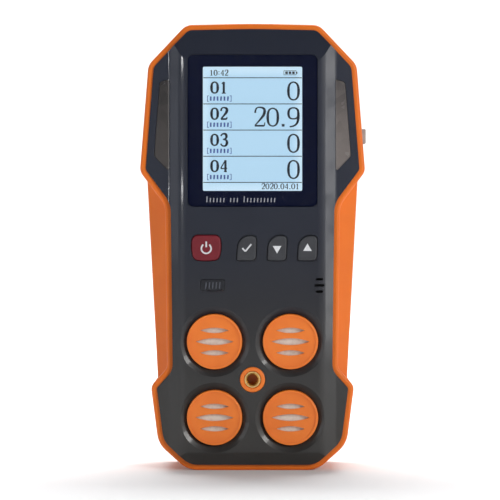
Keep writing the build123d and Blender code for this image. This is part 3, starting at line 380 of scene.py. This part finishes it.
def filterMembrane():
    f = Finish("filterMembrane")
    pores = f.cells(filterLook["pore"])
    fibre = f.ramp(f.noise(0.8 * mm, 5), 0.4, 0.8)
    base = f.mix(fibre * 0.4, filterLook["colour"], filterLook["shade"])
    normal = f.bump(pores, 0.02 * mm, 0.7)
    return f.surface(Base_Color=base, Roughness=0.85 + 0.1 * fibre, Normal=normal, Specular_IOR_Level=0.2)


# smooth plain pieces: colour, roughness and how light their flecks are
glossLook = {
    "badgeGloss": ((0.0120, 0.0130, 0.0165), 0.16, 1.3),
    "trayPlastic": ((0.62, 0.63, 0.63), 0.45, 1.1),
    "amberFilm": ((0.50, 0.22, 0.04), 0.25, 1.3),
    "chipPlastic": ((0.016, 0.016, 0.018), 0.4, 1.3),
    "ivoryPlastic": ((0.62, 0.57, 0.45), 0.4, 1.1),
    "ledLens": ((0.78, 0.78, 0.70), 0.2, 1.1),
    "shrinkSleeve": ((0.03, 0.09, 0.25), 0.22, 1.3),
    "leadSleeve": ((0.40, 0.015, 0.015), 0.35, 1.3),
    "sensorPlastic": ((0.58, 0.59, 0.58), 0.38, 1.1),
}


def gloss(name):
    f = Finish(name)
    colour, roughness, fleck = glossLook[name]
    lighter = tuple(min(1, fleck * part) for part in colour)
    base = f.mix(f.ramp(f.noise(2 * mm, 3), 0.35, 0.7), colour, lighter)
    normal = f.bump(f.noise(0.3 * mm, 3), 0.004 * mm, 0.4)
    return f.surface(Base_Color=base, Roughness=roughness + 0.08 * f.noise(1.5 * mm, 3), Normal=normal)


boardLook = {"lacquer": (0.010, 0.085, 0.032), "track": (0.03, 0.20, 0.075), "weave": 0.6 * mm}


def boardLaminate():
    f = Finish("boardLaminate")
    weave = f.cells(boardLook["weave"])
    tracks = f.ramp(abs(f.noise(3 * mm, 2, (1, 1, 0.25)) - 0.5), 0.012, 0.02)
    base = f.mix(tracks, boardLook["track"], boardLook["lacquer"])
    return f.surface(Base_Color=base, Roughness=0.32 + 0.15 * weave, Normal=f.bump(tracks, 0.02 * mm, 0.5))


wear("sensor_filters", material=filterMembrane())
wear("badge", material=gloss("badgeGloss"))
wear("lcd_frame", material=gloss("trayPlastic"))
wear("lcd_flex", material=gloss("amberFilm"))
wear("main_board", "sensor_board", material=boardLaminate())
wear("board_chips", "key_switches", "buzzer", "board_link", material=gloss("chipPlastic"))
wear("board_connectors", "sensor_sockets", material=gloss("ivoryPlastic"))
wear("alarm_leds", material=gloss("ledLens"))
wear("battery_pack", material=gloss("shrinkSleeve"))
wear("battery_leads", material=gloss("leadSleeve"))
wear("sensor_lel", "sensor_o2", "sensor_co", "sensor_h2s", material=gloss("sensorPlastic"))
print("small pieces finished")


# flat inks
def ink(name, colour, glow=0.0):
    f = Finish(name)
    lighter = tuple(min(1, 1.2 * part + 0.002) for part in colour)
    base = f.mix(f.ramp(f.noise(0.5 * mm, 3), 0.4, 0.7), colour, lighter)
    return f.surface(Base_Color=base, Roughness=0.42 + 0.1 * f.noise(0.4 * mm, 2), Emission_Color=base,
                     Emission_Strength=glow)


darkInk = ink("screenInk", (0.006, 0.008, 0.020))
blueInk = ink("screenBlue", (0.05, 0.09, 0.32), 0.25)
whiteInk = ink("keyWhite", (0.60, 0.61, 0.63))
badgeInk = ink("badgeEdge", (0.045, 0.050, 0.066))
silverInk = ink("printSilver", (0.26, 0.27, 0.30))


def finishPiece(bm, name, material, body):
    bmesh.ops.recalc_face_normals(bm, faces=bm.faces)
    mesh = bpy.data.meshes.new(name)
    bm.to_mesh(mesh)
    bm.free()
    mesh.materials.append(material)
    piece = bpy.data.objects.new(name, mesh)
    scene.collection.objects.link(piece)
    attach(piece, body)


def facing(x, z, y):  # a flat drawing in XY, turned to face the user at this place
    return Matrix.Translation((x, y, z)) @ Matrix.Rotation(math.radians(90), 4, "X")


# Each stroke of a numeral: whether it closes, then (across, up, half thickness) in a cell 1 wide.
numerals = {
    "0": [(True, [(0.5, 0.0, 0.05), (0.10, 0.22, 0.08), (0.02, 0.86, 0.12), (0.10, 1.50, 0.08),
                  (0.5, 1.72, 0.05), (0.90, 1.50, 0.08), (0.98, 0.86, 0.12), (0.90, 0.22, 0.08)])],
    "1": [(False, [(0.5, 0.03, 0.09), (0.5, 0.86, 0.09), (0.5, 1.70, 0.09)]),
          (False, [(0.22, 1.42, 0.045), (0.36, 1.55, 0.05), (0.5, 1.66, 0.06)]),
          (False, [(0.20, 0.04, 0.045), (0.5, 0.04, 0.045), (0.80, 0.04, 0.045)])],
    "2": [(False, [(0.10, 1.25, 0.08), (0.12, 1.66, 0.06), (0.52, 1.80, 0.05), (1.0, 1.62, 0.11),
                   (0.92, 1.08, 0.12), (0.52, 0.60, 0.07), (0.08, 0.10, 0.05)]),
          (False, [(0.06, 0.08, 0.07), (0.5, 0.08, 0.08), (0.92, 0.08, 0.07)]),
          (False, [(0.92, 0.06, 0.05), (0.95, 0.2, 0.045), (0.98, 0.38, 0.04)])],
    "3": [(False, [(0.08, 1.42, 0.06), (0.20, 1.74, 0.05), (0.78, 1.80, 0.09), (0.94, 1.30, 0.11),
                   (0.70, 0.98, 0.05), (0.36, 0.93, 0.045)]),
          (False, [(0.36, 0.93, 0.045), (0.84, 0.92, 0.07), (1.02, 0.45, 0.12), (0.80, -0.06, 0.08),
                   (0.20, -0.04, 0.05), (0.06, 0.30, 0.07)])],
    "4": [(False, [(0.72, 1.70, 0.045), (0.38, 1.12, 0.05), (0.04, 0.52, 0.045)]),
          (False, [(0.04, 0.50, 0.05), (0.5, 0.50, 0.05), (1.0, 0.50, 0.05)]),
          (False, [(0.74, 0.03, 0.09), (0.74, 0.86, 0.09), (0.74, 1.72, 0.09)]),
          (False, [(0.52, 0.04, 0.045), (0.74, 0.04, 0.045), (0.96, 0.04, 0.045)])],
    "9": [(True, [(0.5, 0.68, 0.05), (0.12, 0.78, 0.08), (0.02, 1.20, 0.11), (0.12, 1.62, 0.08),
                  (0.5, 1.74, 0.05), (0.88, 1.62, 0.08), (0.96, 1.20, 0.11), (0.88, 0.78, 0.08)]),
          (False, [(0.94, 1.22, 0.11), (0.98, 0.55, 0.11), (0.62, 0.02, 0.06), (0.16, 0.0, 0.06)])],
    ".": [(False, [(0.24, 0.0, 0.11), (0.24, 0.12, 0.13), (0.24, 0.24, 0.11)])],
    ":": [(False, [(0.24, 0.34, 0.10), (0.24, 0.45, 0.12), (0.24, 0.56, 0.10)]),
          (False, [(0.24, 1.10, 0.10), (0.24, 1.21, 0.12), (0.24, 1.32, 0.10)])],
}
cellTall = 1.72
narrow = {".": 0.48, ":": 0.48}  # how wide these cells are


def drawStrokes(bm, strokes, place, weight=1.0, layer=0.02):  # flattened round strokes, added to bm
    curve = bpy.data.curves.new("strokes", "CURVE")
    curve.dimensions = "3D"
    curve.bevel_depth = weight
    curve.bevel_resolution = 1
    curve.resolution_u = 5
    curve.use_fill_caps = True
    for closed, points in strokes:
        spline = curve.splines.new("NURBS")
        spline.points.add(len(points) - 1)
        for point, (x, y, half) in zip(spline.points, points):
            point.co = (x, y, 0, 1)
            point.radius = half
        spline.order_u = 3
        spline.use_cyclic_u = closed
        spline.use_endpoint_u = not closed
    holder = bpy.data.objects.new("strokes", curve)
    mesh = bpy.data.meshes.new_from_object(holder)
    mesh.transform(place @ Matrix.Diagonal((1, 1, layer, 1)))
    known = set(bm.verts)
    bm.from_mesh(mesh)
    fresh = [v for v in bm.verts if v not in known]
    bmesh.ops.remove_doubles(bm, verts=fresh, dist=1e-7)  # joins the end caps to their strokes
    bpy.data.meshes.remove(mesh)
    bpy.data.objects.remove(holder)
    bpy.data.curves.remove(curve)


def drawNumber(bm, text, x, z, y, tall, weight=1.0, gap=0.20, fromRight=False):
    cell = tall / cellTall
    steps = [narrow.get(letter, 1.0) + gap for letter in text]
    if fromRight:
        x -= (sum(steps) - gap) * cell
    for letter, step in zip(text, steps):
        place = facing(x, z, y) @ Matrix.Scale(cell, 4)
        drawStrokes(bm, numerals[letter], place, weight)
        x += step * cell


def drawBar(bm, x, z, wide, tall, y, thick=0.02 * mm, slant=0.0):  # a printed bar, centred on (x, z)
    made = bmesh.ops.create_grid(bm, x_segments=1, y_segments=1, size=0.5)["verts"]
    shear = Matrix.Identity(4)
    shear[0][1] = slant
    bmesh.ops.transform(bm, matrix=facing(x, z, y) @ Matrix.Diagonal((wide, tall, 1, 1)) @ shear, verts=made)
    face = [f for f in bm.faces if all(v in made for v in f.verts)]
    grown = bmesh.ops.extrude_face_region(bm, geom=face)["geom"]
    moved = [v for v in grown if isinstance(v, bmesh.types.BMVert)]
    bmesh.ops.translate(bm, vec=(0, -thick, 0), verts=moved)


# what the screen shows; a drop is measured down from the screen's top or a row's upper line
readout = {
    "values": ["0", "20.9", "0", "0"],
    "channels": ["01", "02", "03", "04"],
    "clock": "10:42",
    "date": "2020.04.01",
    "topBar": 3.0 * mm,
    "rowStep": 7.6 * mm,
    "line": 0.24 * mm,
    "left": -13.4 * mm,
    "right": 13.5 * mm,
    "valueTall": 5.5 * mm,
    "valueDrop": 6.6 * mm,
    "channelTall": 3.4 * mm,
    "channelDrop": 4.55 * mm,
    "channelIn": 1.4 * mm,
    "unitDrop": 6.05 * mm,
    "smallTall": 1.6 * mm,
    "clockLeft": -12.4 * mm,
    "clockDrop": 2.35 * mm,
    "dateDrop": 1.95 * mm,
}
unitLook = {
    "ticks": 6,
    "step": 1.0 * mm,
    "wide": 0.48 * mm,
    "tall": 1.25 * mm,
    "slant": 0.25,
    "bracketTall": 1.8 * mm,
    "bracketIn": 0.3 * mm,
    "apart": 6.9 * mm,
    "line": 0.2 * mm,
    "foot": 0.5 * mm,
    "footLine": 0.16 * mm,
    "footUp": 0.81 * mm,
    "tickIn": 1.25 * mm,
}
gauge = {
    "x": 10.9 * mm,
    "drop": 1.55 * mm,
    "wide": 3.6 * mm,
    "tall": 1.2 * mm,
    "line": 0.14 * mm,
    "ends": 1.78 * mm,
    "cell": 0.75 * mm,
    "step": 1.0 * mm,
    "nib": (2.0 * mm, 0.3 * mm, 0.55 * mm),  # how far along, wide, tall
}
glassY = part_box("lcd_panel")[0].y
screenTop = screenLook["middle"] + screenLook["height"] / 2


def unitMarks(bm, z):  # square brackets round a row of ticks
    for side in (0, 1):
        x = readout["left"] + unitLook["bracketIn"] + side * unitLook["apart"]
        drawBar(bm, x, z, unitLook["line"], unitLook["bracketTall"], glassY)
        for end in (-1, 1):
            drawBar(bm, x + (1 - 2 * side) * unitLook["line"], z + end * unitLook["footUp"], unitLook["foot"],
                    unitLook["footLine"], glassY)
    for tick in range(unitLook["ticks"]):
        x = readout["left"] + unitLook["tickIn"] + tick * unitLook["step"]
        slant = unitLook["slant"] if tick % 2 else 0.0
        drawBar(bm, x, z, unitLook["wide"], unitLook["tall"], glassY, slant=slant)


def batteryGauge(bm):
    z = screenTop - gauge["drop"]
    for k in (-1, 0, 1):
        drawBar(bm, gauge["x"] + k * gauge["step"], z, gauge["cell"], gauge["cell"], glassY)
    for end in (-1, 1):
        drawBar(bm, gauge["x"], z + end * gauge["tall"] / 2, gauge["wide"], gauge["line"], glassY)
    for end in (-1, 1):
        drawBar(bm, gauge["x"] + end * gauge["ends"], z, gauge["line"], gauge["tall"], glassY)
    along, wide, tall = gauge["nib"]
    drawBar(bm, gauge["x"] + along, z, wide, tall, glassY)


def screenContent():
    dark = bmesh.new()
    blue = bmesh.new()
    row = screenTop - readout["topBar"]
    drawBar(dark, 0, row, screenLook["width"], readout["line"], glassY)
    for value, channel in zip(readout["values"], readout["channels"]):
        drawNumber(dark, value, readout["right"], row - readout["valueDrop"], glassY, readout["valueTall"],
                   weight=1.1, fromRight=True)
        drawNumber(dark, channel, readout["left"] + readout["channelIn"], row - readout["channelDrop"], glassY,
                   readout["channelTall"], weight=1.8, gap=0.35)
        unitMarks(blue, row - readout["unitDrop"])
        row -= readout["rowStep"]
        drawBar(dark, 0, row, screenLook["width"], readout["line"], glassY)
    drawNumber(dark, readout["clock"], readout["clockLeft"], screenTop - readout["clockDrop"], glassY,
               readout["smallTall"], weight=1.7, gap=0.3)
    drawNumber(dark, readout["date"], readout["right"], row - readout["dateDrop"], glassY,
               readout["smallTall"], weight=1.6, gap=0.3, fromRight=True)
    batteryGauge(dark)
    finishPiece(dark, "screenDark", darkInk, "case")
    finishPiece(blue, "screenBlueMarks", blueInk, "case")


screenContent()

# silver strokes under the screen, printed on the window
printLook = {
    "count": 21,
    "gaps": (6, 10),
    "taller": (0, 11),
    "growth": 1.35,
    "step": 0.98 * mm,
    "tall": 1.25 * mm,
    "wide": 0.30 * mm,
    "slant": 0.3,
    "z": 78.5 * mm,
    "start": -13.2 * mm,
    "ink": 0.008 * mm,
}


def windowPrint():
    bm = bmesh.new()
    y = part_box("display_window")[0].y
    for k in range(printLook["count"]):
        if k in printLook["gaps"]:
            continue
        tall = printLook["tall"] * (printLook["growth"] if k in printLook["taller"] else 1.0)
        x = printLook["start"] + k * printLook["step"]
        z = printLook["z"] + (tall - printLook["tall"]) / 2
        drawBar(bm, x, z, printLook["wide"], tall, y, printLook["ink"], printLook["slant"])
    finishPiece(bm, "windowPrint", silverInk, "case")


windowPrint()

# symbols on the keys
symbolLook = {
    "layer": 0.03 * mm,
    "stroke": 0.24 * mm,
    "flat": 0.12,  # how much a round stroke is flattened
    "ring": 1.45 * mm,
    "ringDrop": 0.15 * mm,
    "ringGap": 38,  # degrees on each side of the stem
    "ringSteps": 10,
    "stem": (0.35 * mm, 1.2 * mm, 2.05 * mm),
    "tickShort": [(-1.25, 0.0), (-0.85, -0.45), (-0.4, -0.95)],  # in millimetres
    "tickLong": [(-0.4, -0.95), (0.45, 0.1), (1.35, 1.15)],
    "arrow": 1.45 * mm,
    "arrowDrop": 0.1 * mm,
    "arrowEdge": 0.012 * mm,
}


def keyMiddle(name):
    low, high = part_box(name)
    return (low.x + high.x) / 2, (low.z + high.z) / 2, low.y


def powerSymbol():
    bm = bmesh.new()
    x, z, y = keyMiddle("power_key")
    half = symbolLook["stroke"]
    gap = math.radians(symbolLook["ringGap"])
    step = (2 * math.pi - 2 * gap) / symbolLook["ringSteps"]
    turns = [gap + k * step for k in range(symbolLook["ringSteps"] + 1)]
    ring = symbolLook["ring"]
    arc = [(ring * math.sin(a), ring * math.cos(a), half) for a in turns]
    stem = [(0, up, half) for up in symbolLook["stem"]]
    place = facing(x, z - symbolLook["ringDrop"], y)
    drawStrokes(bm, [(False, arc), (False, stem)], place, layer=symbolLook["flat"])
    finishPiece(bm, "powerSymbol", whiteInk, "power_key")


def tickSymbol():
    bm = bmesh.new()
    x, z, y = keyMiddle("ok_key")
    strokes = []
    for points in (symbolLook["tickShort"], symbolLook["tickLong"]):
        strokes.append((False, [(across * mm, up * mm, symbolLook["stroke"]) for across, up in points]))
    drawStrokes(bm, strokes, facing(x, z, y), layer=symbolLook["flat"])
    finishPiece(bm, "tickSymbol", whiteInk, "ok_key")


def arrowSymbol(key, name, turn):
    bm = bmesh.new()
    x, z, y = keyMiddle(key)
    made = bmesh.ops.create_circle(bm, cap_ends=True, segments=3, radius=symbolLook["arrow"])["verts"]
    place = facing(x, z - symbolLook["arrowDrop"], y) @ Matrix.Rotation(math.radians(turn), 4, "Z")
    bmesh.ops.transform(bm, matrix=place, verts=made)
    grown = bmesh.ops.extrude_face_region(bm, geom=bm.faces[:])["geom"]
    moved = [v for v in grown if isinstance(v, bmesh.types.BMVert)]
    bmesh.ops.translate(bm, vec=(0, -symbolLook["layer"], 0), verts=moved)
    bmesh.ops.bevel(bm, geom=bm.edges[:], offset=symbolLook["arrowEdge"], segments=1, affect="EDGES",
                    profile=0.5, material=-1)
    finishPiece(bm, name, whiteInk, key)


powerSymbol()
tickSymbol()
arrowSymbol("down_key", "downSymbol", 180)
arrowSymbol("up_key", "upSymbol", 0)
print("screen and key symbols drawn")

# thread inside the brass insert
threadLook = {
    "pitch": 0.7 * mm,
    "deep": 0.16 * mm,
    "bore": 1.65 * mm,
    "sunk": 0.01 * mm,  # how far the ridge's foot stands in the brass
    "mouth": 0.4 * mm,
    "steps": 28,
}


def insertThread():
    bm = bmesh.new()
    low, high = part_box("calibration_insert")
    middle = (low + high) / 2
    start = low.y + threadLook["mouth"]
    turns = int((high.y - start) / threadLook["pitch"]) - 1
    foot = threadLook["bore"] + threadLook["sunk"]
    radii = (foot, threadLook["bore"] - threadLook["deep"], foot)
    ridge = bm.faces.new([bm.verts.new((middle.x + r, start + k * threadLook["pitch"] / 2, middle.z))
                          for k, r in enumerate(radii)])
    bmesh.ops.spin(bm, geom=[ridge], cent=middle, axis=(0, 1, 0), angle=2 * math.pi * turns,
                   steps=threadLook["steps"] * turns, dvec=(0, threadLook["pitch"] / threadLook["steps"], 0))
    finishPiece(bm, "insertThread", turnedBrass, "case")


insertThread()

# raised strokes on the badge
badgeLook = {
    "strokes": 5,
    "step": 1.0 * mm,
    "wide": 0.34 * mm,
    "tall": 1.9 * mm,
    "rise": 0.10 * mm,
    "slant": 0.5,
}


def badgeRelief():
    bm = bmesh.new()
    low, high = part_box("badge")
    middle = (low + high) / 2
    for k in range(badgeLook["strokes"]):
        x = middle.x + (k - (badgeLook["strokes"] - 1) / 2) * badgeLook["step"]
        drawBar(bm, x, middle.z, badgeLook["wide"], badgeLook["tall"], low.y, badgeLook["rise"],
                badgeLook["slant"])
    finishPiece(bm, "badgeRelief", badgeInk, "case")


badgeRelief()

# a bare printed frame with ruled lines on the nameplate
plateLook = {"inset": 1.2 * mm, "line": 0.22 * mm, "rules": 4, "ruleShare": 0.86, "ink": 0.02 * mm}


def nameplateFrame():
    bm = bmesh.new()
    low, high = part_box("nameplate")
    middle = (low + high) / 2
    wide, tall = high.x - low.x - 2 * plateLook["inset"], high.z - low.z - 2 * plateLook["inset"]
    for side in (-1, 1):
        drawBar(bm, middle.x + side * wide / 2, middle.z, plateLook["line"], tall + plateLook["line"], high.y,
                -plateLook["ink"])
        drawBar(bm, middle.x, middle.z + side * tall / 2, wide - plateLook["line"], plateLook["line"], high.y,
                -plateLook["ink"])
    for k in range(plateLook["rules"]):
        z = middle.z + tall * ((k + 1) / (plateLook["rules"] + 1) - 0.5)
        drawBar(bm, middle.x, z, plateLook["ruleShare"] * wide, plateLook["line"] / 2, high.y,
                -plateLook["ink"])
    finishPiece(bm, "nameplateFrame", darkInk, "case")


nameplateFrame()
print("thread, badge and nameplate drawn")


def windingSpring():
    coil = bpy.data.objects.new("windingSpring", nodes["clip_spring"].data.copy())
    scene.collection.objects.link(coil)
    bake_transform(coil)
    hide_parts("clip_spring")


windingSpring()

# studio
studio = {
    "paint": (0.88, 0.88, 0.88),
    "front": (0.42, 0.42, 0.43),
    "frontFade": (-0.9, -2.0),  # along Y, from the paint to the darker front
    "flat": 1.7,
    "bend": 0.6,
    "bendSteps": 10,
    "wall": 1.8,
    "steps": 64,
    "air": (0.80, 0.86, 1.0),
    "airGlow": 0.13,
}


def bowl():  # a round floor that bends up into a wall all the way round
    bm = bmesh.new()
    bend = studio["bend"]
    profile = [(0, 0), (studio["flat"] / 2, 0), (studio["flat"], 0)]
    turns = [math.pi / 2 * k / studio["bendSteps"] for k in range(1, studio["bendSteps"] + 1)]
    profile += [(studio["flat"] + bend * math.sin(a), bend - bend * math.cos(a)) for a in turns]
    profile.append((studio["flat"] + bend, studio["wall"]))
    verts = [bm.verts.new((x, 0, z)) for x, z in profile]
    edges = [bm.edges.new(pair) for pair in zip(verts, verts[1:])]
    bmesh.ops.spin(bm, geom=verts + edges, cent=(0, 0, 0), axis=(0, 0, 1), angle=2 * math.pi,
                   steps=studio["steps"], use_merge=True)
    bmesh.ops.remove_doubles(bm, verts=bm.verts[:], dist=1e-5)
    bmesh.ops.recalc_face_normals(bm, faces=bm.faces)
    for face in bm.faces:
        face.smooth = True
    mesh = bpy.data.meshes.new("studioBowl")
    bm.to_mesh(mesh)
    bm.free()
    piece = bpy.data.objects.new("studioBowl", mesh)
    scene.collection.objects.link(piece)
    f = Finish("studioPaint")
    shade = f.mix(f.noise(0.3, 2), studio["paint"], tuple(0.97 * part for part in studio["paint"]))
    shade = f.mix(f.ramp(f.axis("Y"), *studio["frontFade"]), shade, studio["front"])
    mesh.materials.append(f.surface(Base_Color=shade, Roughness=0.85 + 0.1 * f.noise(0.05, 2)))


bowl()

lamps = {
    "key": {"at": (0.62, -0.72, 0.42), "size": (0.30, 0.30), "power": 4.5, "colour": (1.0, 0.985, 0.96)},
    "fill": {"at": (-0.85, -0.55, 0.30), "size": (0.4, 0.5), "power": 1.0, "colour": (0.93, 0.96, 1.0)},
    "top": {"at": (0.0, 0.55, 1.05), "size": (1.2, 0.55), "power": 18.0},
    "glintHigh": {"at": (-0.42, -0.80, 0.197), "size": (0.12, 0.008), "power": 0.25},
    "glintLow": {"at": (-0.42, -0.80, 0.106), "size": (0.12, 0.008), "power": 0.25},
    "rim": {"at": (0.66, -0.66, 0.09), "size": (0.10, 0.45), "power": 1.05},
    "wall": {"at": (0.0, 0.95, 1.05), "size": (2.4, 0.5), "power": 26.0, "aim": (0, 1.8, 0.2)},
}
for name, lamp in lamps.items():
    light = bpy.data.lights.new(name, "AREA")
    light.shape = "RECTANGLE"
    light.size, light.size_y = lamp["size"]
    light.energy = lamp["power"]
    light.color = lamp.get("colour", (1.0, 1.0, 1.0))
    holder = bpy.data.objects.new(name, light)
    holder.location = lamp["at"]
    aim = Vector(lamp.get("aim", (0, 0, 0.065)))
    holder.rotation_euler = (aim - Vector(lamp["at"])).to_track_quat("-Z", "Y").to_euler()
    scene.collection.objects.link(holder)

world = bpy.data.worlds.new("studioAir")
world.use_nodes = True
world.node_tree.nodes["Background"].inputs["Color"].default_value = (*studio["air"], 1)
world.node_tree.nodes["Background"].inputs["Strength"].default_value = studio["airGlow"]
scene.world = world

# camera
lookFrom = {"x": -0.73 * mm, "z": 64.05 * mm, "distance": 0.62, "field": 145.25 * mm, "faceY": -14 * mm}
camera = bpy.data.cameras.new("camera")
camera.sensor_width = 36
camera.lens = 36 * lookFrom["distance"] / lookFrom["field"]
cameraHolder = bpy.data.objects.new("camera", camera)
cameraHolder.location = (lookFrom["x"], lookFrom["faceY"] - lookFrom["distance"], lookFrom["z"])
cameraHolder.rotation_euler = (math.radians(90), 0, 0)
scene.collection.objects.link(cameraHolder)
scene.camera = cameraHolder
scene.view_settings.view_transform = "Standard"
scene.view_settings.look = "None"
print("studio set")
